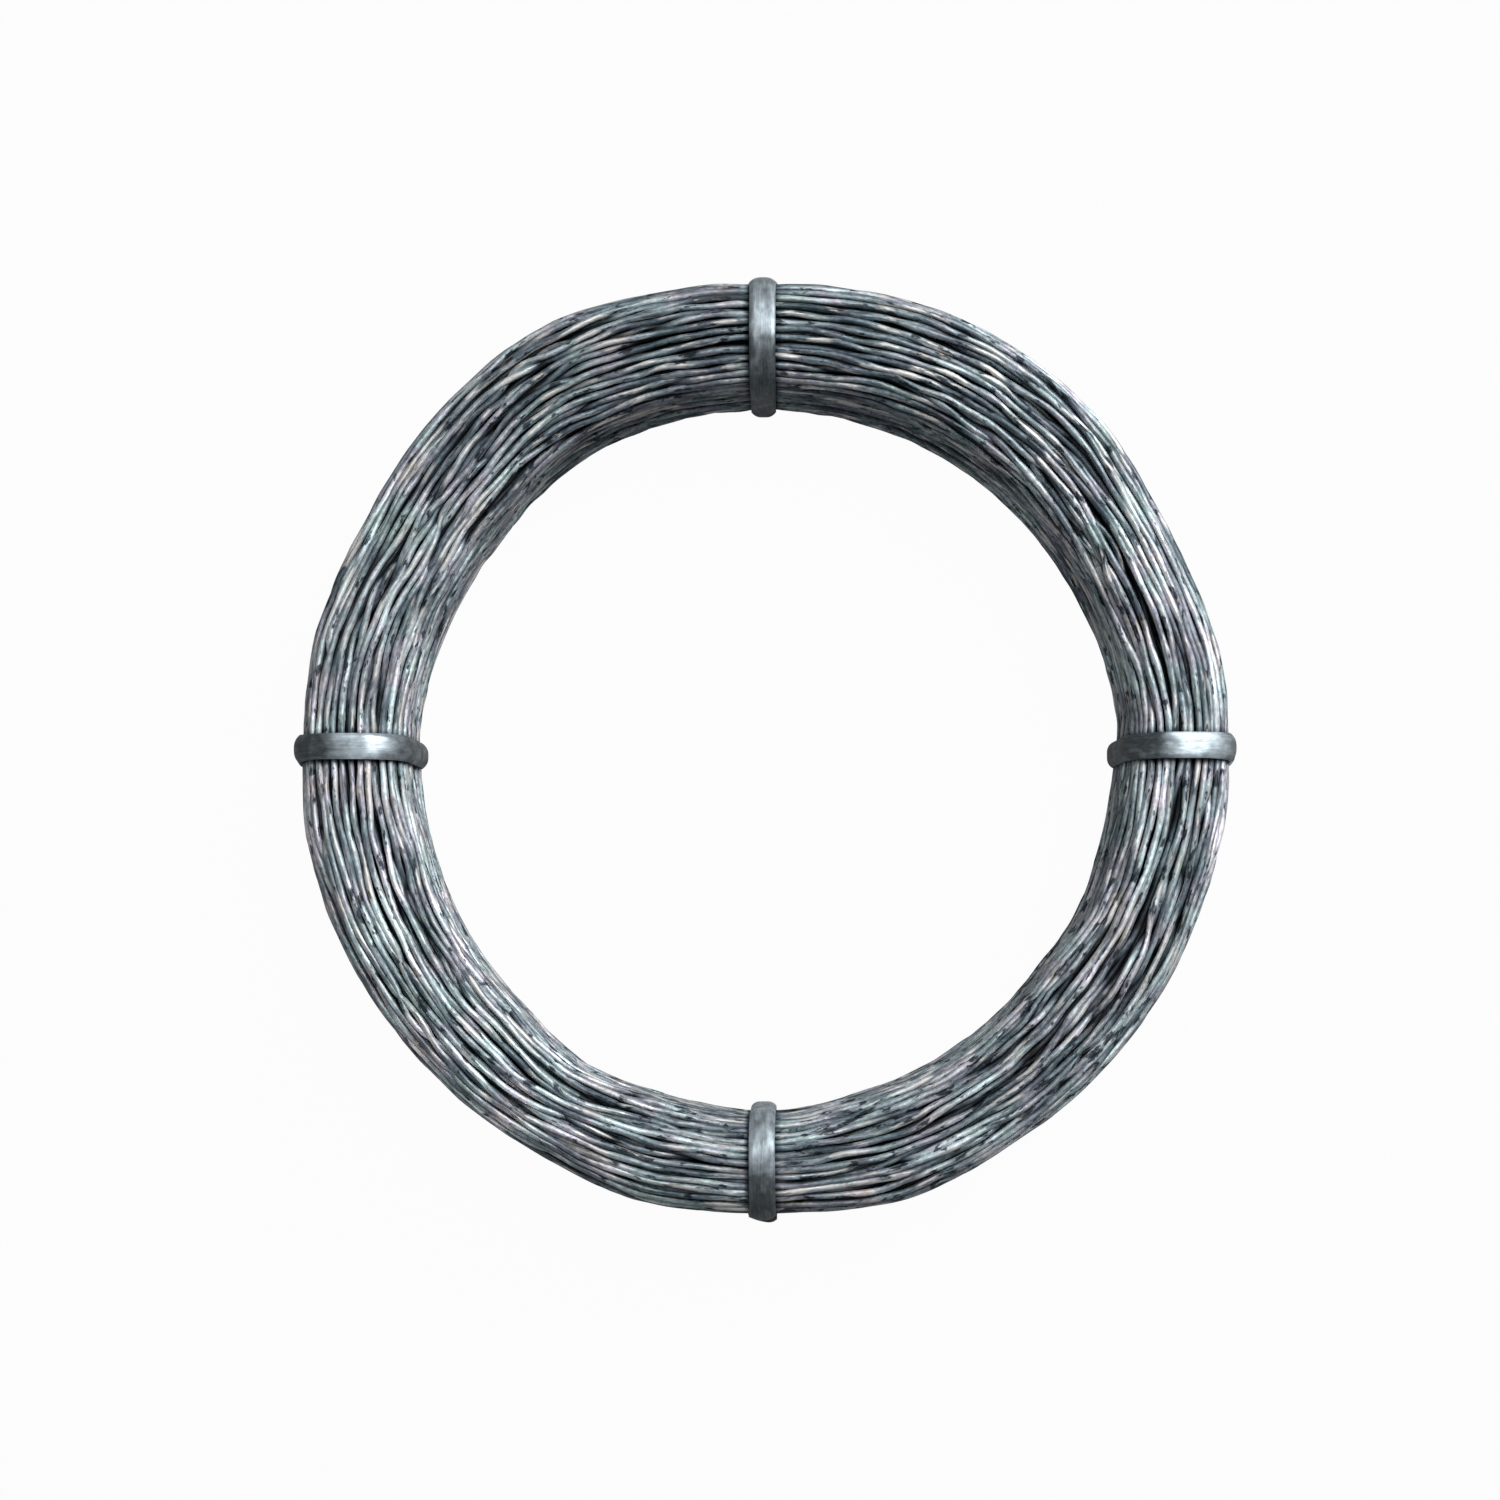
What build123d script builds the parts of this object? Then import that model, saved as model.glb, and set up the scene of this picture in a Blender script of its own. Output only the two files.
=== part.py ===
"""Coil of high-tensile fence wire, lying flat, with four steel bands round it.

One length of galvanised wire is wound into a ring of many turns. The ring is one
turned solid with its bore, and its turns show as ridges on both ends, out to the
outer wall and in to the bore. Each band is one strip, bent once round the bundle
and lapped over its own start on the outer wall. The coil rests on the four bands.
Sizes are in millimetres, +Z is up along the axis of the bore, and the origin is
under the centre of the bore, on the floor.
"""

import os
from math import cos, radians, sin, sqrt

from build123d import *

# Wire: seen from above, the turns lie a little apart, with a groove between two turns
wire_diameter = 2.5
turn_gap = 1.2
groove_depth = 2.0

# Coil: the bore, and the section of the bundle round it
bore_diameter = 278.0
bundle_width = 41.0
bundle_height = 58.0
shoulder_radius = 15.0

# Bands
band_width = 10.0
band_thickness = 2.7
band_clearance = 0.2
lap_length = 13.0
lap_margin = 1.0
band_angles = {"band_right": 0, "band_back": 90, "band_left": 180, "band_front": 270}

# Places that follow from the sizes above
bore_radius = bore_diameter / 2
outer_radius = bore_radius + bundle_width
wall_half_height = bundle_height / 2 - shoulder_radius
end_face_width = bundle_width - 2 * shoulder_radius
# The bore's wall curves in towards the band's edges, so the band stands off by that rise.
wall_rise = bore_radius - sqrt(bore_radius**2 - (band_width / 2) ** 2)
band_seat = wall_rise + band_clearance
mid_height = band_thickness + band_seat + bundle_height / 2


def section_plane(angle):
    """The upright plane through the bore's axis: x runs outwards, y runs up from mid height."""
    outwards = (cos(radians(angle)), sin(radians(angle)), 0)
    sideways = (sin(radians(angle)), -cos(radians(angle)), 0)
    return Plane(origin=(0, 0, mid_height), x_dir=outwards, z_dir=sideways)


def end_height(x):
    """How high the bundle's upper end stands above mid height: flat, then a round shoulder."""
    past_the_flat = max(0, abs(x - bore_radius - bundle_width / 2) - end_face_width / 2)
    return wall_half_height + sqrt(shoulder_radius**2 - past_the_flat**2)


def ridged_end():
    """The upper end in section, from the outer wall to the bore: a crest for each turn."""
    turns = round(bundle_width / (wire_diameter + turn_gap))
    turn_pitch = bundle_width / turns
    points = [(outer_radius, wall_half_height)]
    for turn in range(turns):
        crest_x = outer_radius - (turn + 1 / 2) * turn_pitch
        points.append((crest_x, end_height(crest_x)))
        if turn + 1 < turns:
            groove_x = outer_radius - (turn + 1) * turn_pitch
            points.append((groove_x, end_height(groove_x) - groove_depth))
    points.append((bore_radius, wall_half_height))
    return points


# Wire coil: a section with both ends ridged, turned about the axis of the bore
upper_end = ridged_end()
lower_end = [(x, -y) for x, y in reversed(upper_end)]
with BuildPart() as wire_coil:
    with BuildSketch(section_plane(0)):
        with BuildLine():
            Polyline(*upper_end, *lower_end, close=True)
        make_face()
    revolve(axis=Axis.Z)
wire_coil.part.label = "wire_coil"


def band_path(plane):
    """A band's inner face in section: once round the bundle, then up outside its own start."""
    seat_radius = shoulder_radius + band_seat
    lap_step = band_thickness + band_clearance
    seat_x = outer_radius + band_seat
    start_y = lap_step + lap_margin - wall_half_height
    with BuildLine(plane) as path:
        start = Line((seat_x, start_y), (seat_x, wall_half_height))
        outer_top = JernArc(start @ 1, start % 1, seat_radius, 90)
        top = PolarLine(outer_top @ 1, end_face_width, direction=outer_top % 1)
        bore_top = JernArc(top @ 1, top % 1, seat_radius, 90)
        bore_wall = PolarLine(bore_top @ 1, 2 * wall_half_height, direction=bore_top % 1)
        bore_bottom = JernArc(bore_wall @ 1, bore_wall % 1, seat_radius, 90)
        bottom = PolarLine(bore_bottom @ 1, end_face_width, direction=bore_bottom % 1)
        outer_bottom = JernArc(bottom @ 1, bottom % 1, seat_radius + lap_step, 90)
        PolarLine(outer_bottom @ 1, lap_margin + lap_length, direction=outer_bottom % 1)
    return path.wires()[0]


# Bands: one strip each, swept along its path
bands = {}
for name, angle in band_angles.items():
    plane = section_plane(angle)
    path = band_path(plane)
    with BuildPart() as band:
        with BuildSketch(Plane(origin=path @ 0, x_dir=plane.x_dir, z_dir=path % 0)):
            Rectangle(band_thickness, band_width, align=(Align.MIN, Align.CENTER))
        sweep(path=path)
    band.part.label = name
    bands[name] = band.part

os.makedirs("parts", exist_ok=True)
export_step(wire_coil.part, "parts/wire_coil.step")
for name, solid in bands.items():
    export_step(solid, f"parts/{name}.step")
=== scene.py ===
"""Looks of the coil of fence wire: the wound wire, the four bands, their finish, and a studio."""

from collections import namedtuple
from math import cos, pi, radians, sin

import bpy
import numpy as np
from mathutils import Matrix, Vector


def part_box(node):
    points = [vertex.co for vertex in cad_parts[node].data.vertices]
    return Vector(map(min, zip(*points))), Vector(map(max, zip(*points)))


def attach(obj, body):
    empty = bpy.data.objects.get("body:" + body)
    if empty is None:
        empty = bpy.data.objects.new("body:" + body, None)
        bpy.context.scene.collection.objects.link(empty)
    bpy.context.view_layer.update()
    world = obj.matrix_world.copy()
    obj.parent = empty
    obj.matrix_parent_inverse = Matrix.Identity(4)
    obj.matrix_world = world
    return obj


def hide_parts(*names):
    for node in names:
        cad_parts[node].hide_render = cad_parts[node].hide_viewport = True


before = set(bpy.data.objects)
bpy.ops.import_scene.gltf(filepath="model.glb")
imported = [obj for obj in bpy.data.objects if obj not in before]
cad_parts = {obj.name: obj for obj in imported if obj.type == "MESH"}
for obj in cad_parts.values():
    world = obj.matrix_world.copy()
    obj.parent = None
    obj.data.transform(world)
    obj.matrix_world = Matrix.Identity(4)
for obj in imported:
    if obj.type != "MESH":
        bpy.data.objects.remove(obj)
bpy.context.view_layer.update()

MM = 0.001
SEED = 27
BAND_SEED = 37

# Wire, and the shoulders of the bundle's section
WIRE_RADIUS = 1.25 * MM
SHOULDER = 15 * MM
LEAST_CORNER = 0.5 * MM
CORNER_POINTS = 25

# The bundle is filled with rings of turns: the way from ring to ring, and from turn to turn
RING_DEPTH = 2.8 * MM
TURN_SPACING = 3.15 * MM

# Slices of one turn, in the layout of the wire and in the finished mesh
LAYOUT_SLICES = 160
FINE_SLICES = 360

# Wander of the wire from its place in a tidy winding
DRIFT_ALONG = 1.7 * MM
DRIFT_DEPTH = 1.0 * MM
DRIFT_LENGTH = 120 * MM
DRIFT_TURNS = 4
WANDER_SIZE = 0.65 * MM
WANDER_LENGTH = 45 * MM

# How much a band holds the wire in its place, and how soon that fades away from the band
HELD_SHARE = 0.6
BAND_HOLD = 7.0

# How the turns settle: they are pushed apart where they lie nearer than this, and kept smooth
RELAX_ROUNDS = 160
NEIGHBOUR_ROUNDS = 16
NEAR = 2.1 * WIRE_RADIUS
NEIGHBOUR_REACH = 1.6 * NEAR
LEAST_DISTANCE = MM * MM
PUSH_SHARE = 0.4
SMOOTH_SHARE = 0.006

# Small bends and lumps of the finished wire
KINK_SIZE = 0.28 * MM
KINK_LENGTH = 20 * MM
LUMP_SHARE = 0.08
LUMP_LENGTH = 11 * MM

# How far the bundle's outer wall and bore wall stand off their circles, in degrees and millimetres
OUTER_BULGE = (
    (0, 0), (10, 0.7), (25, -1.6), (33, -1.0), (43, 2.8), (51, 3.5), (65, 3.8), (85, 1.3),
    (90, 0.2), (95, 1.8), (105, 2.4), (116, 6.2), (125, 5.0), (150, -1.0), (165, 0.4), (180, -0.7),
    (190, 1.6), (205, 1.3), (225, 0.4), (242, 0), (255, 2.5), (265, 0.3), (275, 0.4), (285, 3.3),
    (290, 3.6), (302, 1.2), (330, 1.2), (337, 0.5), (352, 1.1), (360, 0),
)
BORE_BULGE = (
    (0, 2.3), (5, 4.0), (15, 3.2), (22, 2.3), (35, 1.5), (45, 1.2), (65, 0.8), (75, 0.3),
    (85, 0), (90, 1.0), (95, 0.2), (105, 1.0), (120, 1.3), (130, -0.2), (136, -1.7), (150, -1.8),
    (160, -1.0), (175, 0.8), (185, 0), (195, -0.9), (205, 0.3), (226, 0.6), (240, 4.9), (252, 2.8),
    (267, 4.6), (275, 4.4), (281, 2.5), (300, 1.6), (325, -0.1), (331, 1.7), (343, 0.8), (355, 1.1),
    (360, 2.3),
)
BULGE_STEPS = 720
BULGE_ROUNDING_STEPS = 17

# A band's strip, and its path round the bundle
BAND_WIDTH = 10 * MM
BAND_THICKNESS = 2.7 * MM
BAND_SEAT = 0.28 * MM
LAP_GAP = 0.2 * MM
LAP_MARGIN = 1 * MM
BAND_SPACING = 1.0 * MM
RUN_POINTS = 9
BEND_POINTS = 13

# The strip's crowned face: how thick its edges are and how flat its crown is, where it lies on
# the flat ends of the bundle and on its walls
BAND_EDGE = 2.05 * MM
BAND_EDGE_ON_WALL = 0.5 * MM
CROWN_POWER = 6
CROWN_POWER_ON_WALL = 2.8
CROWN_POINTS = 17
INNER_FACE_SHARES = (0.97, 0.5, 0, -0.5, -0.97)

# The strip is wider outwards, dented, swayed, and thinned at its ends
FLARE_SHARE = 0.12
FLARE_POWER = 6
BAND_DENT = 0.08 * MM
BAND_DENT_LENGTH = 12 * MM
BAND_SWAY_LENGTH = 36 * MM
BAND_END = 1.5 * MM
BAND_END_SHARE = 0.7
SLANT_LENGTH = 6 * MM
TAPER_LENGTH = 12 * MM

# How far from its painted highlight a band's stain and painted shade start, and where they are darkest
STAIN_AND_SHADE_START = 3 * MM
STAIN_AND_SHADE_END = 15 * MM

# Each band: its angle in degrees, the end of its lap above mid height, how much further out than
# in the CAD it runs in the bore, the middle of its painted highlight, where it is also cleanest,
# outwards from the band's middle, how stained it is there, which dims that highlight, and how
# slanted and how tapered the end of its lap is
BAND_FIELDS = "angle lap_end bore_step clean_place stain_share slant_share taper_share"
Band = namedtuple("Band", BAND_FIELDS, defaults=(0, 0))
BANDS = {
    "band_right": Band(0, 2.9 * MM, 2.3 * MM, 6.5 * MM, 0.12),
    "band_back": Band(90, 2.9 * MM, 1.0 * MM, 10 * MM, 0.58),
    "band_left": Band(180, 2.9 * MM, 0, -7 * MM, 0),
    "band_front": Band(270, 8 * MM, 3.9 * MM, -10 * MM, 0.45, slant_share=0.3, taper_share=0.75),
}

# Painted light and shade on the zinc: the angle, in degrees, of the side that is painted lighter,
# and by how much: on that side, and along the line through the right and left bands
PAINTED_LIGHT_ANGLE = 240
PAINTED_LIGHT_SIDE_SHARE = 0.22
PAINTED_LIGHT_LINE_SHARE = 0.24

# How far the painted shadow on the wire reaches from the bands, and how much the painted shade
# between the turns varies round the coil
BAND_SHADOW_WIDTH = 2.5 * MM
SHADE_SWING_SHARE = 0.35

# The step from turn to turn on the straightened wire, so that each has its own pattern, and a
# small share of a turn, so that its first sample counts to it
TURN_STEP = 50 * MM
ROUNDING_SHARE = 0.001

# Noise in the finishes: its waves a metre along, across and through the straightened piece, its
# detail and roughness, and the stretch of it that is spread out to another range
Pattern = namedtuple("Pattern", "waves detail rough spread", defaults=(None,))
WIRE_PATTERNS = {
    "patches": Pattern((55, 55, 55), 3.0, 0.6),
    "uneven patches": Pattern((45, 55, 55), 2.0, 0.5, (0.3, 0.7, -0.06, 0.06)),
    "turns": Pattern((20, 18, 18), 1.0, 0.5, (0.35, 0.65, 0.48, 1.52)),
    "dashes": Pattern((55, 300, 300), 4.0, 0.62, (0.36, 0.64, 0.38, 1.62)),
    "grain": Pattern((450, 800, 800), 2.0, 0.6, (0.3, 0.7, 0.7, 1.3)),
    "shade_spots": Pattern((130, 340, 340), 3.0, 0.6),
    "bloom and highlight dashes": Pattern((60, 320, 320), 4.0, 0.6, (0.55, 0.63, 0.0, 0.8)),
    "gloss": Pattern((110, 300, 300), 3.0, 0.5, (0.3, 0.7, 0.44, 0.66)),
    "bumps": Pattern((200, 380, 380), 2.5, 0.5),
}
BAND_PATTERNS = {
    "blotches": Pattern((220, 260, 260), 4.0, 0.6, (0.33, 0.67, 0.72, 1.26)),
    "streaks": Pattern((90, 1500, 600), 3.0, 0.6, (0.3, 0.7, 0.75, 1.25)),
    "uneven stain and highlight": Pattern((150, 200, 200), 3.0, 0.6, (0.3, 0.7, -0.2, 0.2)),
    "gloss": Pattern((200, 400, 400), 3.0, 0.5, (0.3, 0.7, 0.38, 0.54)),
    "bumps": Pattern((250, 700, 500), 4.0, 0.6),
}

# Other spreads of the wire's finish: dark spots of painted shade, how much closer together they are
# towards the front's right, painted shade by depth in the bundle, painted shadow by nearness to a
# band, and the range of light
SHADE_SPOT_SPREAD = (0.58, 0.64, 1.0, 0.12)
CLOSER_SHADE_SPOTS_SPREAD = (0.15, 0.21, 0.0, 0.025)
DEPTH_SHADE_SPREAD = (0.4 * MM, 2.8 * MM, 1.0, 0.06)
BAND_SHADOW_SPREAD = (BAND_WIDTH / 2, BAND_WIDTH / 2 + BAND_SHADOW_WIDTH, 0.25, 1.0)
LIGHT_SPREAD = (0, 2, 0, 1)

# Colours of the zinc: tints by patch, and casts by how dark the random tone and the painted light
# and shade make it, bluer where it is dark
ZINC_TINTS = (
    (0.34, (0.31, 0.39, 0.40)),
    (0.44, (0.33, 0.41, 0.45)),
    (0.52, (0.35, 0.40, 0.44)),
    (0.59, (0.38, 0.39, 0.46)),
    (0.65, (0.40, 0.40, 0.44)),
    (0.73, (0.43, 0.41, 0.40)),
)
ZINC_AND_SHADE_CASTS = (
    (0, (0.58, 0.80, 1.0)),
    (0.1, (0.74, 0.88, 1.0)),
    (0.35, (0.93, 0.95, 0.96)),
    (0.7, (1.0, 0.965, 0.93)),
)
# Bright dashes on the wire: partly zinc bloom, partly painted highlight
ZINC_BLOOM_AND_HIGHLIGHT = (0.75, 0.73, 0.705)
# The band's clean colour is also its painted highlight, and its stained colour also its painted shade
CLEAN_AND_HIGHLIGHT_STRIP = (0.63, 0.73, 0.80)
STAINED_AND_SHADED_STRIP = (0.090, 0.107, 0.117)

# Where a ramp's stops are added, before they get their places
NEW_STOP_SHARE = 0.5

# Metal share, and the strength and depth of the bumps
WIRE_METAL_SHARE = 0.5
WIRE_BUMPS = (0.8, 0.5 * MM)
BAND_METAL_SHARE = 0.6
BAND_BUMPS = (0.4, 0.25 * MM)

# Camera, as in the photograph: it looks almost straight down from a place towards the ring's front
CAMERA_HEIGHT = 0.750
CAMERA_PLACE = (0.0097, -0.0604)
CAMERA_AIM = (-0.0053, -0.0586)
CAMERA_SHIFT = 0.10
LENS = 45.4
SENSOR = 36.0

# Lamps: the place and the width of each in metres, and its power in watts
LAMPS = {
    "overhead": ((0.72, 0.78, 1.42), 0.6, 17),
    "key": ((1.02, 0.98, 0.95), 0.4, 11),
    "fill": ((0.20, 0.38, 1.25), 0.5, 3.4),
    "side": ((-1.0, -1.0, 0.45), 0.6, 1.8),
}

# Floor and world: how white each kind of ray sees them, and the light that they give
FLOOR_SIZE = 60
FLOOR_GREY = (0.25, 0.25, 0.25, 1)
WHITE = (1, 1, 1, 1)
FLOOR_SHARES = {"Is Camera Ray": 0.97, "Is Glossy Ray": 0.15, "Is Transmission Ray": 0.15}
WORLD_SHARES = {"Is Camera Ray": 0.98, "Is Glossy Ray": 0.2, "Is Transmission Ray": 0.2}
WORLD_LIGHT = 0.08

# The frame's own places
coil_low, coil_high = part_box("wire_coil")
outer_radius = coil_high.x
mid_height = (coil_low.z + coil_high.z) / 2
half_height = (coil_high.z - coil_low.z) / 2
coil_points = np.array([v.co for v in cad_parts["wire_coil"].data.vertices])
bore_radius = float(np.hypot(coil_points[:, 0], coil_points[:, 1]).min())
mean_radius = (outer_radius + bore_radius) / 2
half_width = (outer_radius - bore_radius) / 2


def smooth_noise(rng, count, length):
    """Random numbers of unit spread along a line, with waves about length samples long."""
    frequency = np.fft.rfftfreq(count)
    spectrum = np.fft.rfft(rng.standard_normal(count))
    spectrum *= np.exp(-2 * (pi * frequency * length / 4) ** 2)
    noise = np.fft.irfft(spectrum, count)
    return noise / noise.std()


def length_along(points):
    """How far along a line each of its points lies."""
    return np.concatenate([[0], np.cumsum(np.hypot(*np.diff(points, axis=0).T))])


def section_shape(inset):
    """Half the straight parts of the section's outline, and its corner radius, at an inset."""
    corner = max(SHOULDER - inset, LEAST_CORNER)
    return half_width - inset - corner, half_height - inset - corner, corner


def section_ring(inset):
    """The section's outline at an inset, from the middle of its underside round to it again."""
    flat_x, flat_y, corner = section_shape(inset)
    quarter = np.linspace(0, pi / 2, CORNER_POINTS)
    centres = (flat_x, -flat_y), (flat_x, flat_y), (-flat_x, flat_y), (-flat_x, -flat_y)
    points = [(0, -flat_y - corner)]
    for number, (x, y) in enumerate(centres):
        turn = quarter + (number - 1) * pi / 2
        points += list(zip(x + corner * np.cos(turn), y + corner * np.sin(turn)))
    points.append(points[0])
    points = np.array(points)
    return points, length_along(points)


def keep_inside(points, inset):
    """Moves points that are outside the section's outline, at an inset, straight back onto it."""
    flat_x, flat_y, corner = section_shape(inset)
    past_x = np.maximum(np.abs(points[:, 0]) - flat_x, 0)
    past_y = np.maximum(np.abs(points[:, 1]) - flat_y, 0)
    past = np.hypot(past_x, past_y)
    back = np.where(past > corner, 1 - corner / np.maximum(past, corner), 0)
    points[:, 0] -= np.sign(points[:, 0]) * past_x * back
    points[:, 1] -= np.sign(points[:, 1]) * past_y * back


def depth_inside(x, y, inset):
    """How deep points of the section lie inside its outline at an inset."""
    flat_x, flat_y, corner = section_shape(inset)
    past_x, past_y = np.abs(x) - flat_x, np.abs(y) - flat_y
    past = np.hypot(np.maximum(past_x, 0), np.maximum(past_y, 0))
    return corner - past - np.minimum(np.maximum(past_x, past_y), 0)


def nearness_to_band(theta):
    """1 under a band, falling to 0 between two bands."""
    off = np.abs((theta + pi / 4) % (pi / 2) - pi / 4)
    return np.exp(-(off * BAND_HOLD) ** 2 / 2)


def samples(length):
    """How many layout samples a length of wire takes."""
    return length * LAYOUT_SLICES / (2 * pi * mean_radius)


def wind_wire():
    """The wire's middle line: ring after ring of turns, from the heart of the bundle outwards.

    Gives each sample's place in the bundle's section, its angle round the coil, and the
    number of turns wound before each ring."""
    rng = np.random.default_rng(SEED)
    insets = np.arange(WIRE_RADIUS, half_width - WIRE_RADIUS, RING_DEPTH)[::-1]
    turns = np.array([round(section_ring(inset)[1][-1] / TURN_SPACING) for inset in insets])
    starts = np.concatenate([[0], np.cumsum(turns)])
    count = starts[-1] * LAYOUT_SLICES + 1
    turn = np.arange(count) / LAYOUT_SLICES
    theta = 2 * pi * turn
    ring = np.clip(np.searchsorted(starts, turn, side="right") - 1, 0, len(turns) - 1)
    # A ring starts a quarter of the outline before its underside, in the middle of the bore's wall
    share = (turn - starts[ring]) / turns[ring] - 1 / 4
    # The wire takes one turn to climb from a ring to the next
    half_turn = LAYOUT_SLICES // 2
    padded = np.pad(insets[ring], (half_turn, half_turn - 1), mode="edge")
    inset = np.convolve(padded, np.ones(LAYOUT_SLICES) / LAYOUT_SLICES, "valid")
    free = 1 - HELD_SHARE * nearness_to_band(theta)
    # Turns that are wound one after another drift along the ring together
    along = smooth_noise(rng, count, samples(DRIFT_LENGTH))
    along = sum(np.roll(along, number * LAYOUT_SLICES) for number in range(DRIFT_TURNS))
    along *= DRIFT_ALONG / along.std() * free
    inset = inset + smooth_noise(rng, count, samples(DRIFT_LENGTH)) * DRIFT_DEPTH * free
    points = np.empty((count, 2))
    for number, ring_inset in enumerate(insets):
        here = ring == number
        line, way = section_ring(ring_inset)
        place = (share[here] * way[-1] + along[here]) % way[-1]
        x, y = np.interp(place, way, line[:, 0]), np.interp(place, way, line[:, 1])
        # A step in depth is a step towards the middle of the section or away from it
        nearer = 1 - (inset[here] - ring_inset) / (half_width - ring_inset)
        points[here] = np.stack([x * nearer, y * nearer], 1)
    for axis in (0, 1):
        points[:, axis] += smooth_noise(rng, count, samples(WANDER_LENGTH)) * WANDER_SIZE * free
    keep_inside(points, WIRE_RADIUS)
    return points, theta, starts


def near_pairs(points, reach):
    """Pairs of samples that lie in the same slice of the coil and nearer than reach."""
    turns = len(points) // LAYOUT_SLICES
    grid = points[: turns * LAYOUT_SLICES].reshape(turns, LAYOUT_SLICES, 2).astype(np.float32)
    upper = np.triu(np.ones((turns, turns), bool), 1)
    first, second = [], []
    for number in range(LAYOUT_SLICES):
        x, y = grid[:, number, 0], grid[:, number, 1]
        close = np.hypot(x[:, None] - x[None, :], y[:, None] - y[None, :]) < reach
        a, b = np.nonzero(close & upper)
        first.append(a * LAYOUT_SLICES + number)
        second.append(b * LAYOUT_SLICES + number)
    return np.concatenate(first), np.concatenate(second)


def settle(points):
    """Pushes turns apart where they would pass through each other, and keeps the wire's bends easy."""
    for number in range(RELAX_ROUNDS):
        if number % NEIGHBOUR_ROUNDS == 0:
            first, second = near_pairs(points, NEIGHBOUR_REACH)
        gap = points[first] - points[second]
        distance = np.hypot(gap[:, 0], gap[:, 1]) + LEAST_DISTANCE
        move = gap * (np.clip(NEAR - distance, 0, None) / distance * PUSH_SHARE)[:, None]
        for axis in (0, 1):
            points[:, axis] += np.bincount(first, move[:, axis], len(points))
            points[:, axis] -= np.bincount(second, move[:, axis], len(points))
        points[1:-1] += SMOOTH_SHARE * (points[:-2] + points[2:] - 2 * points[1:-1])
        keep_inside(points, WIRE_RADIUS)


def rounded_table(table, theta):
    """A table of degrees and millimetres, read smoothly at any angle."""
    angles = np.linspace(0, 2 * pi, BULGE_STEPS + 1)
    values = np.interp(np.degrees(angles[:-1]), *zip(*table)) * MM
    kernel = np.hanning(BULGE_ROUNDING_STEPS)
    three_times_round = np.convolve(np.tile(values, 3), kernel / kernel.sum(), "same")
    values = three_times_round[BULGE_STEPS : 2 * BULGE_STEPS]
    return np.interp(theta % (2 * pi), angles, np.append(values, values[0]))


def fine_wire():
    """The finished line of the wire: radius from the coil's axis, height, angle and thickness.

    Gives also each sample's depth in the bundle, and the number of turns before each ring."""
    points, theta, starts = wind_wire()
    settle(points)
    rng = np.random.default_rng(SEED + 1)
    count = starts[-1] * FINE_SLICES + 1
    fine_theta = np.arange(count) * 2 * pi / FINE_SLICES
    per_metre = FINE_SLICES / (2 * pi * mean_radius)
    # Straight runs between layout samples are rounded off
    kernel = np.hanning(2 * FINE_SLICES // LAYOUT_SLICES + 3)
    kernel /= kernel.sum()
    line = np.empty((count, 2))
    for axis in (0, 1):
        coarse = np.interp(fine_theta, theta, points[:, axis])
        padded = np.pad(coarse, len(kernel) // 2, mode="edge")
        line[:, axis] = np.convolve(padded, kernel, "valid")[:count]
        line[:, axis] += smooth_noise(rng, count, KINK_LENGTH * per_metre) * KINK_SIZE
    keep_inside(line, WIRE_RADIUS)
    x, y = line[:, 0], line[:, 1]
    depth = depth_inside(x, y, WIRE_RADIUS)
    outer = rounded_table(OUTER_BULGE, fine_theta)
    bore = rounded_table(BORE_BULGE, fine_theta)
    share = (x + half_width) / (2 * half_width)
    x += bore + (outer - bore) * share
    radius = WIRE_RADIUS * (1 + LUMP_SHARE * smooth_noise(rng, count, LUMP_LENGTH * per_metre))
    return (mean_radius + x, mid_height + y, fine_theta, radius), depth, starts


def add_mesh(name, vertices, quads, caps):
    """A smooth mesh piece from arrays of points, four-cornered faces and end faces."""
    mesh = bpy.data.meshes.new(name)
    corners = np.concatenate([quads.ravel(), *caps])
    sizes = np.concatenate([np.full(len(quads), 4), [len(cap) for cap in caps]]).astype(int)
    smooth = np.concatenate([np.ones(len(quads), bool), np.zeros(len(caps), bool)])
    mesh.vertices.add(len(vertices))
    mesh.vertices.foreach_set("co", vertices.astype(np.float32).ravel())
    mesh.loops.add(len(corners))
    mesh.loops.foreach_set("vertex_index", corners.astype(np.int32))
    mesh.polygons.add(len(sizes))
    mesh.polygons.foreach_set("loop_start", (np.cumsum(sizes) - sizes).astype(np.int32))
    mesh.polygons.foreach_set("use_smooth", smooth)
    mesh.update(calc_edges=True)
    piece = bpy.data.objects.new(name, mesh)
    bpy.context.scene.collection.objects.link(piece)
    return piece


def tube_quads(count, sides):
    """Faces of a tube of count rings of points, and its two end faces."""
    low = np.arange(count - 1)[:, None] * sides
    here = np.arange(sides)[None, :]
    after = (here + 1) % sides
    quads = np.stack([low + here, low + after, low + sides + after, low + sides + here], 2)
    last = (count - 1) * sides
    return quads.reshape(-1, 4), [np.arange(sides)[::-1], last + np.arange(sides)]


def mark(piece, name, shape, *parts):
    """Gives every point of a piece a number, or a vector of three, for its finish to read."""
    kind, field = ("FLOAT", "value") if len(parts) == 1 else ("FLOAT_VECTOR", "vector")
    attribute = piece.data.attributes.new(name, kind, "POINT")
    values = np.stack([np.broadcast_to(part, shape) for part in parts], -1)
    attribute.data.foreach_set(field, values.astype(np.float32).ravel())


def painted_light(out, theta):
    """Painted light and shade on the zinc: one side of the coil is painted lighter, but for its outer
    wall, and one line.
    """
    inwards = np.clip(1 - (out - mean_radius) / half_width, 0, 1)
    side = PAINTED_LIGHT_SIDE_SHARE * np.cos(theta - radians(PAINTED_LIGHT_ANGLE)) * inwards
    return 1 + side + PAINTED_LIGHT_LINE_SHARE * np.cos(2 * theta)


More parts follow.
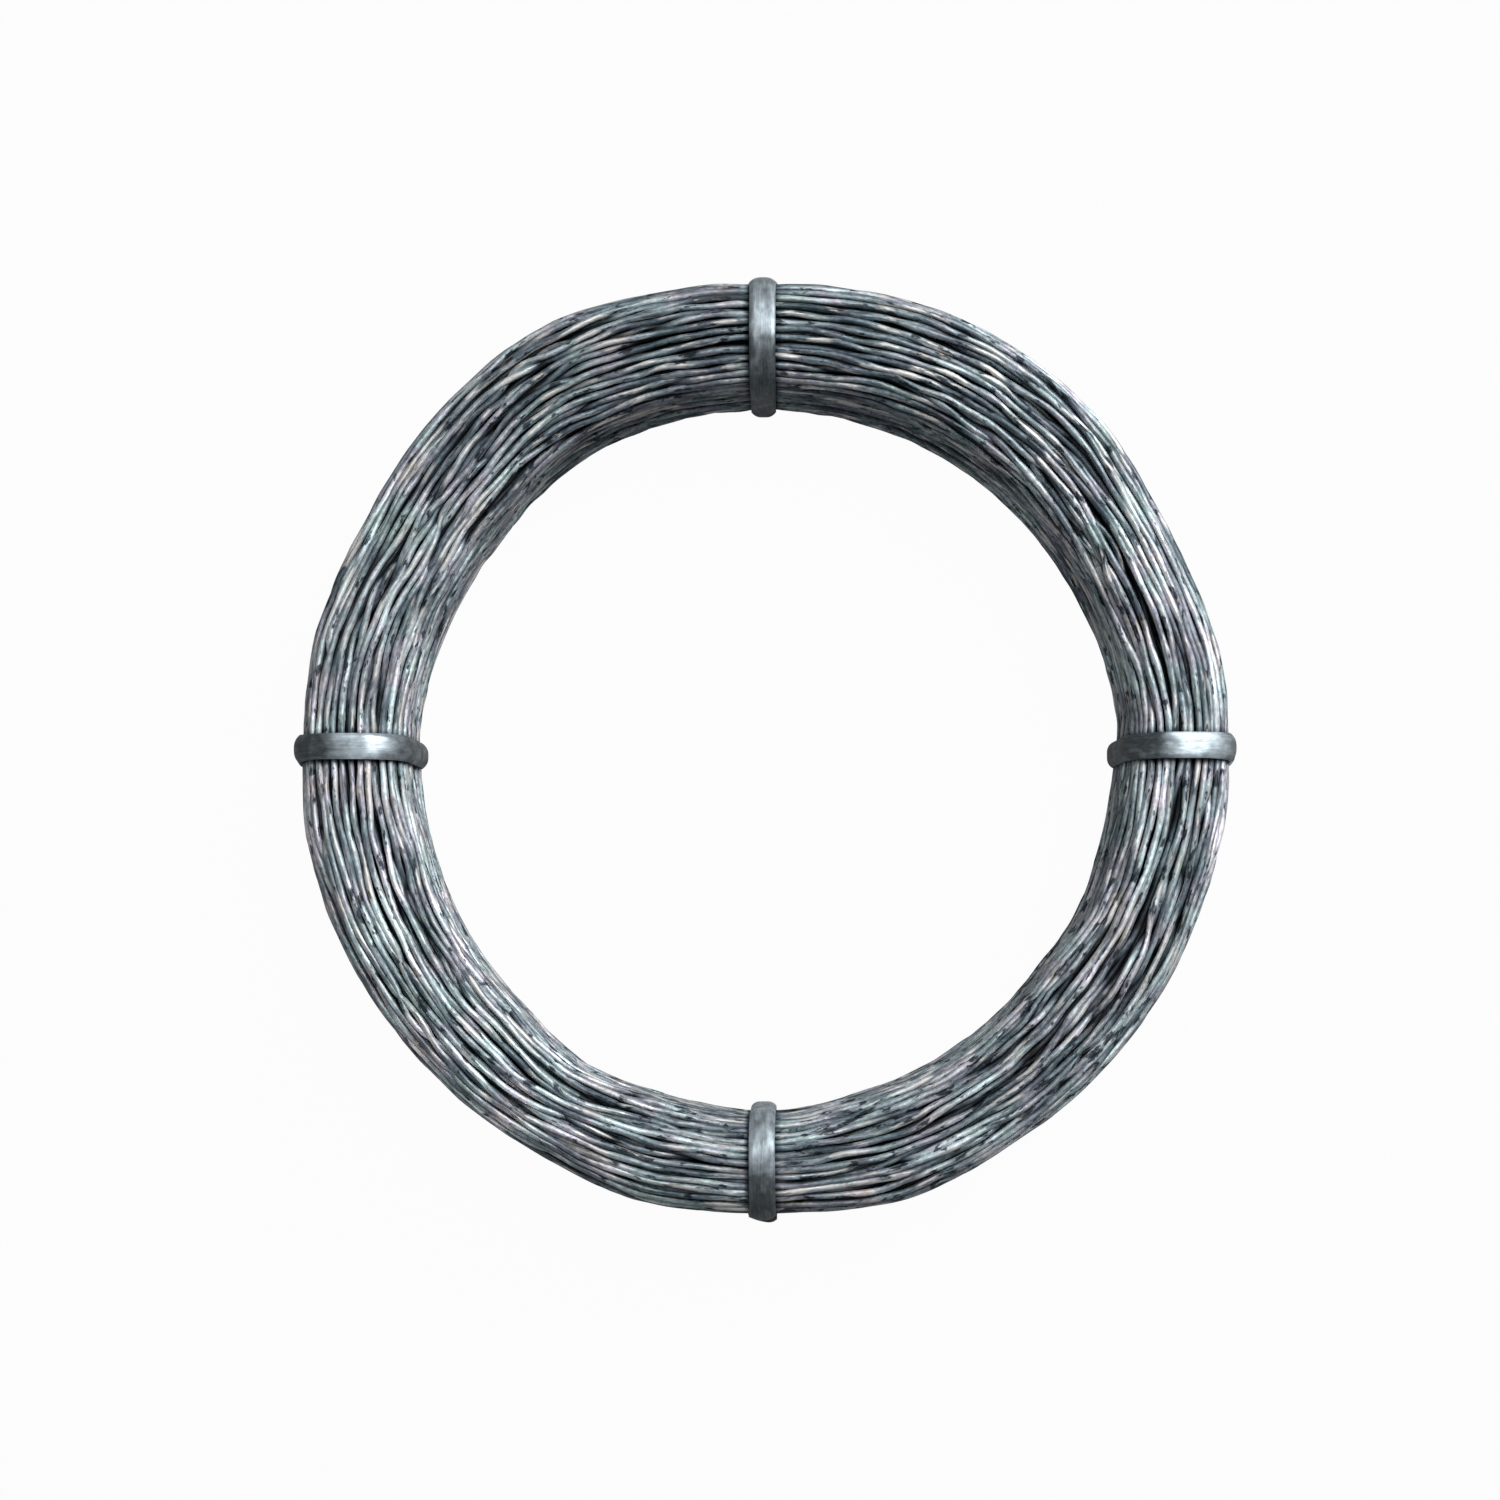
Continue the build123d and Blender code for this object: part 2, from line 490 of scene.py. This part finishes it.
def add_tube(name, line, depth, first_turn, last_turn, step, sides):
    """A stretch of whole turns of the wire as a tube."""
    here = slice(first_turn * FINE_SLICES, last_turn * FINE_SLICES + 1, step)
    out, up, theta, radius = (values[here, None] for values in line)
    # Clockwise, so that the faces look outwards
    around = -np.arange(sides) / sides * 2 * pi
    round_x, round_y = radius * np.cos(around), radius * np.sin(around)
    shape = round_x.shape
    ring = (out + round_x) * np.cos(theta), (out + round_x) * np.sin(theta), up + round_y
    piece = add_mesh(name, np.stack(ring, 2).reshape(-1, 3), *tube_quads(*shape))
    turn = np.floor(theta / (2 * pi) + ROUNDING_SHARE)
    along = (theta - turn * 2 * pi) * mean_radius
    mark(piece, "straight", shape, along, round_x + turn * TURN_STEP, round_y)
    # Painted shade is heavier between the turns at the back's left and the front's right
    shade_swing = 1 - SHADE_SWING_SHARE * np.sin(2 * theta)
    mark(piece, "depth", shape, np.maximum(depth[here, None] * shade_swing, 0))
    mark(piece, "painted_light", shape, painted_light(out, theta))
    return piece


class Finish:
    """A new material with its shader and its patterns, and helpers that add and link its nodes."""

    def __init__(self, name, patterns):
        self.material = bpy.data.materials.new(name)
        self.material.use_nodes = True
        self.tree = self.material.node_tree
        self.shader = self.tree.nodes["Principled BSDF"]
        self.patterns = patterns
        self.place = self.attribute("straight", "Vector")

    def node(self, kind, **settings):
        node = self.tree.nodes.new("ShaderNode" + kind)
        for name, value in settings.items():
            setattr(node, name, value)
        return node

    def link(self, output, socket):
        self.tree.links.new(output, socket)

    def attribute(self, name, output="Fac"):
        return self.node("Attribute", attribute_name=name).outputs[output]

    def pattern(self, name, where=None):
        """A pattern of noise on the straightened piece, or elsewhere, spread out if it says so."""
        pattern = self.patterns[name]
        place = self.node("VectorMath", operation="MULTIPLY")
        place.inputs[1].default_value = pattern.waves
        self.link(where or self.place, place.inputs[0])
        texture = self.node("TexNoise")
        texture.inputs["Scale"].default_value = 1.0
        texture.inputs["Detail"].default_value = pattern.detail
        texture.inputs["Roughness"].default_value = pattern.rough
        self.link(place.outputs[0], texture.inputs["Vector"])
        noise = texture.outputs["Fac"]
        return self.spread(noise, *pattern.spread) if pattern.spread else noise

    def spread(self, value, low, high, to_low, to_high):
        """Spreads a value between low and high out to another range."""
        wider = self.node("MapRange")
        wider.inputs["From Min"].default_value = low
        wider.inputs["From Max"].default_value = high
        wider.inputs["To Min"].default_value = to_low
        wider.inputs["To Max"].default_value = to_high
        self.link(value, wider.inputs["Value"])
        return wider.outputs["Result"]

    def combine(self, operation, first, *others):
        """Combines several values by one operation, such as adding or multiplying them."""
        for other in others:
            both = self.node("Math", operation=operation)
            self.link(first, both.inputs[0])
            self.link(other, both.inputs[1])
            first = both.outputs[0]
        return first

    def absolute(self, value):
        size = self.node("Math", operation="ABSOLUTE")
        self.link(value, size.inputs[0])
        return size.outputs[0]

    def shaded(self, color, light):
        scaled = self.node("VectorMath", operation="SCALE")
        self.link(color, scaled.inputs[0])
        self.link(light, scaled.inputs["Scale"])
        return scaled.outputs[0]

    def tinted(self, color, cast):
        product = self.node("VectorMath", operation="MULTIPLY")
        self.link(color, product.inputs[0])
        self.link(cast, product.inputs[1])
        return product.outputs[0]

    def mixed(self, share, first, second):
        """A mix of two colours, each a link or a plain colour."""
        mix = self.node("Mix", data_type="RGBA")
        self.link(share, mix.inputs[0])
        sockets = [socket for socket in mix.inputs if socket.type == "RGBA"]
        for socket, color in zip(sockets, (first, second)):
            if isinstance(color, tuple):
                socket.default_value = (*color, 1)
            else:
                self.link(color, socket)
        return next(socket for socket in mix.outputs if socket.type == "RGBA")

    def ramp(self, value, stops):
        """A colour for each value, from stops of a value and its colour."""
        ramp = self.node("ValToRGB")
        while len(ramp.color_ramp.elements) < len(stops):
            ramp.color_ramp.elements.new(NEW_STOP_SHARE)
        for element, (place, color) in zip(ramp.color_ramp.elements, stops):
            element.position = place
            element.color = (*color, 1)
        self.link(value, ramp.inputs["Fac"])
        return ramp.outputs["Color"]

    def finish(self, color, metal_share, strength, distance):
        """Sets the shader: the colour, the metal share, and the piece's own gloss and bumps."""
        self.link(color, self.shader.inputs["Base Color"])
        self.shader.inputs["Metallic"].default_value = metal_share
        self.link(self.pattern("gloss"), self.shader.inputs["Roughness"])
        bump = self.node("Bump")
        bump.inputs["Strength"].default_value = strength
        bump.inputs["Distance"].default_value = distance
        self.link(self.pattern("bumps"), bump.inputs["Height"])
        self.link(bump.outputs["Normal"], self.shader.inputs["Normal"])
        return self.material


def wire_material():
    """Weathered zinc: blue-grey with teal, lavender and brown patches, dark spots of painted shade, and
    bright dashes, partly zinc bloom and partly painted highlight; with painted light by place, painted
    shade between the turns and painted shadow beside the bands.
    """
    wire = Finish("galvanised_wire", WIRE_PATTERNS)
    place = wire.node("TexCoord").outputs["Object"]
    parts = wire.node("SeparateXYZ")
    wire.link(place, parts.inputs[0])
    right, back = parts.outputs["X"], parts.outputs["Y"]
    # Patches of one tint spread over neighbouring turns
    patches = wire.combine("ADD", wire.pattern("patches", place), wire.pattern("uneven patches"))
    tint = wire.ramp(patches, ZINC_TINTS)
    # The dark spots of painted shade are closer together at the front's right
    closer = wire.spread(wire.combine("SUBTRACT", right, back), *CLOSER_SHADE_SPOTS_SPREAD)
    shade_spots = wire.spread(wire.combine("ADD", wire.pattern("shade_spots"), closer), *SHADE_SPOT_SPREAD)
    # Painted shade deep between the turns, and painted shadow beside the bands, which lie along the two
    # axes
    shadow = wire.spread(wire.attribute("depth"), *DEPTH_SHADE_SPREAD)
    sideways = wire.combine("MINIMUM", wire.absolute(right), wire.absolute(back))
    band_shadow = wire.spread(sideways, *BAND_SHADOW_SPREAD)
    patterns = [wire.pattern(name) for name in ("turns", "dashes", "grain")]
    # Random tone, times painted shade in dark spots, painted light and shade by place, painted shadow
    # beside the bands and painted shade between the turns
    light = wire.combine("MULTIPLY", *patterns, shade_spots, wire.attribute("painted_light"), band_shadow, shadow)
    # Dark places, painted shade among them, are bluer, and the brightest ones nearly neutral
    cast = wire.ramp(wire.spread(light, *LIGHT_SPREAD), ZINC_AND_SHADE_CASTS)
    worn_and_shaded = wire.shaded(wire.tinted(tint, cast), light)
    # Bright dashes, partly zinc bloom and partly painted highlight, kept out of the painted shade and
    # shadow
    bloom_and_highlight = wire.combine("MULTIPLY", wire.pattern("bloom and highlight dashes"), band_shadow, shadow)
    return wire.finish(wire.mixed(bloom_and_highlight, worn_and_shaded, ZINC_BLOOM_AND_HIGHLIGHT), WIRE_METAL_SHARE, *WIRE_BUMPS)


def band_material():
    """Satin strip, streaked along its length and mottled, with a painted highlight where each band is
    cleanest, stained and painted darker in shade towards both walls.
    """
    band = Finish("band_steel", BAND_PATTERNS)
    stain = band.combine("ADD", band.attribute("stain"), band.pattern("uneven stain and highlight"))
    light = band.combine("MULTIPLY", band.pattern("blotches"), band.pattern("streaks"))
    # The clean zinc carries a painted highlight, and the stain carries painted shade
    color = band.shaded(band.mixed(stain, CLEAN_AND_HIGHLIGHT_STRIP, STAINED_AND_SHADED_STRIP), light)
    return band.finish(color, BAND_METAL_SHARE, *BAND_BUMPS)


def make_wire():
    """The whole wire, cut into stretches of whole turns, finer towards the outside."""
    line, depth, starts = fine_wire()
    material = wire_material()
    third, second, outer, total = (int(start) for start in starts[-4:])
    # Each stretch: its turns, the slices from one ring of points to the next, and its sides
    stretches = (
        ("wire_core", 0, third, 4, 5),
        ("wire_third_layer", third, second, 2, 6),
        ("wire_second_start", second, (second + outer) // 2, 1, 6),
        ("wire_second_end", (second + outer) // 2, outer, 1, 6),
        ("wire_outer_start", outer, (outer + total) // 2, 1, 8),
        ("wire_outer_end", (outer + total) // 2, total, 1, 8),
    )
    for name, first, last, step, sides in stretches:
        piece = add_tube(name, line, depth, first, last, step, sides)
        piece.data.materials.append(material)
        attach(piece, "root")
        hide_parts("wire_coil")


def band_line(lap_end, bore_step):
    """A band's inner face in the bundle's section, from its start, once round, up its own lap."""
    seat = SHOULDER + BAND_SEAT
    step = BAND_THICKNESS + LAP_GAP
    wall = half_height - SHOULDER
    flat = half_width - SHOULDER
    start_x = half_width + BAND_SEAT
    points = [(start_x, y) for y in np.linspace(step + LAP_MARGIN - wall, wall, RUN_POINTS)]

    def bend(x, y, first, radius):
        for share in np.linspace(0, 1, BEND_POINTS)[1:]:
            here = radians(first + 90 * share)
            points.append((x + radius * cos(here), y + radius * sin(here)))

    bend(flat, wall, 0, seat)
    bend(bore_step - flat, wall, 90, seat)
    bend(bore_step - flat, -wall, 180, seat)
    bend(flat, -wall + step, 270, seat + step)
    points += [(start_x + step, y) for y in np.linspace(-wall + step, lap_end, RUN_POINTS)[1:]]
    return np.array(points)


def resampled(points, spacing):
    """Points of a line, evenly spaced, and how far along it they lie."""
    way = length_along(points)
    count = int(round(way[-1] / spacing)) + 1
    places = np.linspace(0, way[-1], count)
    return np.stack([np.interp(places, way, points[:, axis]) for axis in (0, 1)], 1), places


def strip_points(band, line, way):
    """The strip's points: how far across it each lies, and how far out from its inner face."""
    rng = np.random.default_rng(BAND_SEED + band.angle)
    count = len(line)
    # On the walls the strip is more crowned than on the flat ends of the bundle
    on_wall = np.clip((np.abs(line[:, 0]) - half_width + SHOULDER) / SHOULDER, 0, 1)
    edge = BAND_EDGE - (BAND_EDGE - BAND_EDGE_ON_WALL) * on_wall
    power = CROWN_POWER - (CROWN_POWER - CROWN_POWER_ON_WALL) * on_wall
    end = np.clip(np.minimum(way, way[-1] - way) / BAND_END, 0, 1)
    thin = BAND_END_SHARE + (1 - BAND_END_SHARE) * np.sqrt(1 - (1 - end) ** 2)
    dent = smooth_noise(rng, count, BAND_DENT_LENGTH / BAND_SPACING) * BAND_DENT
    sway = smooth_noise(rng, count, BAND_SWAY_LENGTH / BAND_SPACING) * BAND_DENT
    lean = np.sin(np.linspace(-1, 1, CROWN_POINTS) * pi / 2)
    crown = (BAND_THICKNESS - edge)[:, None] * (1 - np.abs(lean) ** power[:, None])
    outer = np.minimum(edge[:, None] + crown + dent[:, None], BAND_THICKNESS) * thin[:, None]
    # A beaten lap is thinner at its left
    taper = np.clip((way - way[-1]) / TAPER_LENGTH + 1, 0, 1) * band.taper_share
    outer *= 1 - taper[:, None] * (1 - lean) / 2
    flare = FLARE_SHARE * np.clip(line[:, 0] / half_width, 0, 1) ** FLARE_POWER
    half = BAND_WIDTH / 2 * (1 + flare)
    across = half[:, None] * np.append(lean, INNER_FACE_SHARES) + sway[:, None]
    inner = np.zeros((count, len(INNER_FACE_SHARES)))
    return across, np.concatenate([outer, inner], 1)


def make_band(name, band, material):
    """One band: the strip swept along its line, crowned, its ends thinned and its edges rounded."""
    line, way = resampled(band_line(band.lap_end, band.bore_step), BAND_SPACING)
    tangent = np.gradient(line, axis=0)
    tangent /= np.hypot(*tangent.T)[:, None]
    outward = np.stack([tangent[:, 1], -tangent[:, 0]], 1)
    across, off = strip_points(band, line, way)
    slant = np.clip(1 - (way[-1] - way) / SLANT_LENGTH, 0, 1) * band.slant_share
    x = line[:, None, 0] + outward[:, None, 0] * off
    y = line[:, None, 1] + outward[:, None, 1] * off + slant[:, None] * across
    out = mean_radius + x
    turn = radians(band.angle)
    place_x = out * cos(turn) - across * sin(turn)
    place_y = out * sin(turn) + across * cos(turn)
    vertices = np.stack([place_x, place_y, mid_height + y], 2).reshape(-1, 3)
    piece = add_mesh(name + "_strip", vertices, *tube_quads(*across.shape))
    mark(piece, "straight", across.shape, way[:, None] + TURN_STEP * band.angle, across, off)
    # Stain and painted shade grow away from each band's painted highlight
    off_highlight = np.abs(line[:, 0] - band.clean_place)
    stain = np.clip((off_highlight - STAIN_AND_SHADE_START) / (STAIN_AND_SHADE_END - STAIN_AND_SHADE_START), band.stain_share, 1)
    mark(piece, "stain", across.shape, stain[:, None])
    piece.data.materials.append(material)
    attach(piece, "root")
    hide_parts(name)


def make_camera():
    """A camera that looks along the line from its place to its aim, with +Y up in the picture."""
    camera_data = bpy.data.cameras.new("camera")
    camera_data.lens = LENS
    camera_data.sensor_width = SENSOR
    camera_data.shift_y = CAMERA_SHIFT
    camera = bpy.data.objects.new("camera", camera_data)
    bpy.context.scene.collection.objects.link(camera)
    place = Vector((*CAMERA_PLACE, mid_height + CAMERA_HEIGHT))
    target = Vector((*CAMERA_AIM, mid_height))
    forward = (target - place).normalized()
    right = forward.cross(Vector((0, 1, 0))).normalized()
    up = right.cross(forward)
    turn = Matrix((right, up, -forward)).transposed()
    camera.matrix_world = Matrix.Translation(place) @ turn.to_4x4()
    bpy.context.scene.camera = camera


def area_light(name, place, size, power):
    """A square lamp that faces the middle of the coil."""
    light = bpy.data.lights.new(name, "AREA")
    light.size = size
    light.energy = power
    lamp = bpy.data.objects.new(name, light)
    bpy.context.scene.collection.objects.link(lamp)
    lamp.location = place
    toward = Vector((0, 0, mid_height)) - Vector(place)
    lamp.rotation_euler = toward.to_track_quat("-Z", "Y").to_euler()


def seen_share(tree, shares, least):
    """A value by kind of ray: each kind's own share, and the least for all the rest."""
    path = tree.nodes.new("ShaderNodeLightPath")
    value = None
    for ray, share in shares.items():
        part = tree.nodes.new("ShaderNodeMath")
        part.operation = "MULTIPLY"
        part.inputs[1].default_value = share
        tree.links.new(path.outputs[ray], part.inputs[0])
        larger = tree.nodes.new("ShaderNodeMath")
        larger.operation = "MAXIMUM"
        larger.inputs[1].default_value = least
        tree.links.new(part.outputs[0], larger.inputs[0])
        if value is not None:
            tree.links.new(value, larger.inputs[1])
        value = larger.outputs[0]
    return value


def make_floor():
    """A grey floor that takes the object's shadow, and that the camera sees as nearly white."""
    bpy.ops.mesh.primitive_plane_add(size=FLOOR_SIZE)
    floor = bpy.context.object
    floor.name = "floor"
    material = bpy.data.materials.new("floor")
    material.use_nodes = True
    tree = material.node_tree
    tree.nodes.remove(tree.nodes["Principled BSDF"])
    diffuse = tree.nodes.new("ShaderNodeBsdfDiffuse")
    diffuse.inputs["Color"].default_value = FLOOR_GREY
    white = tree.nodes.new("ShaderNodeEmission")
    white.inputs["Color"].default_value = WHITE
    mix = tree.nodes.new("ShaderNodeMixShader")
    tree.links.new(seen_share(tree, FLOOR_SHARES, 0), mix.inputs[0])
    tree.links.new(diffuse.outputs[0], mix.inputs[1])
    tree.links.new(white.outputs[0], mix.inputs[2])
    tree.links.new(mix.outputs[0], tree.nodes["Material Output"].inputs["Surface"])
    floor.data.materials.append(material)


def make_world():
    """A white world that gives little light of its own."""
    world = bpy.data.worlds.new("studio")
    world.use_nodes = True
    tree = world.node_tree
    background = tree.nodes["Background"]
    background.inputs["Color"].default_value = WHITE
    tree.links.new(seen_share(tree, WORLD_SHARES, WORLD_LIGHT), background.inputs["Strength"])
    bpy.context.scene.world = world


make_camera()
make_wire()
band_finish = band_material()
for band_name, band in BANDS.items():
    make_band(band_name, band, band_finish)
make_floor()
make_world()
for lamp_name, lamp_settings in LAMPS.items():
    area_light(lamp_name, *lamp_settings)
bpy.context.scene.view_settings.view_transform = "Standard"
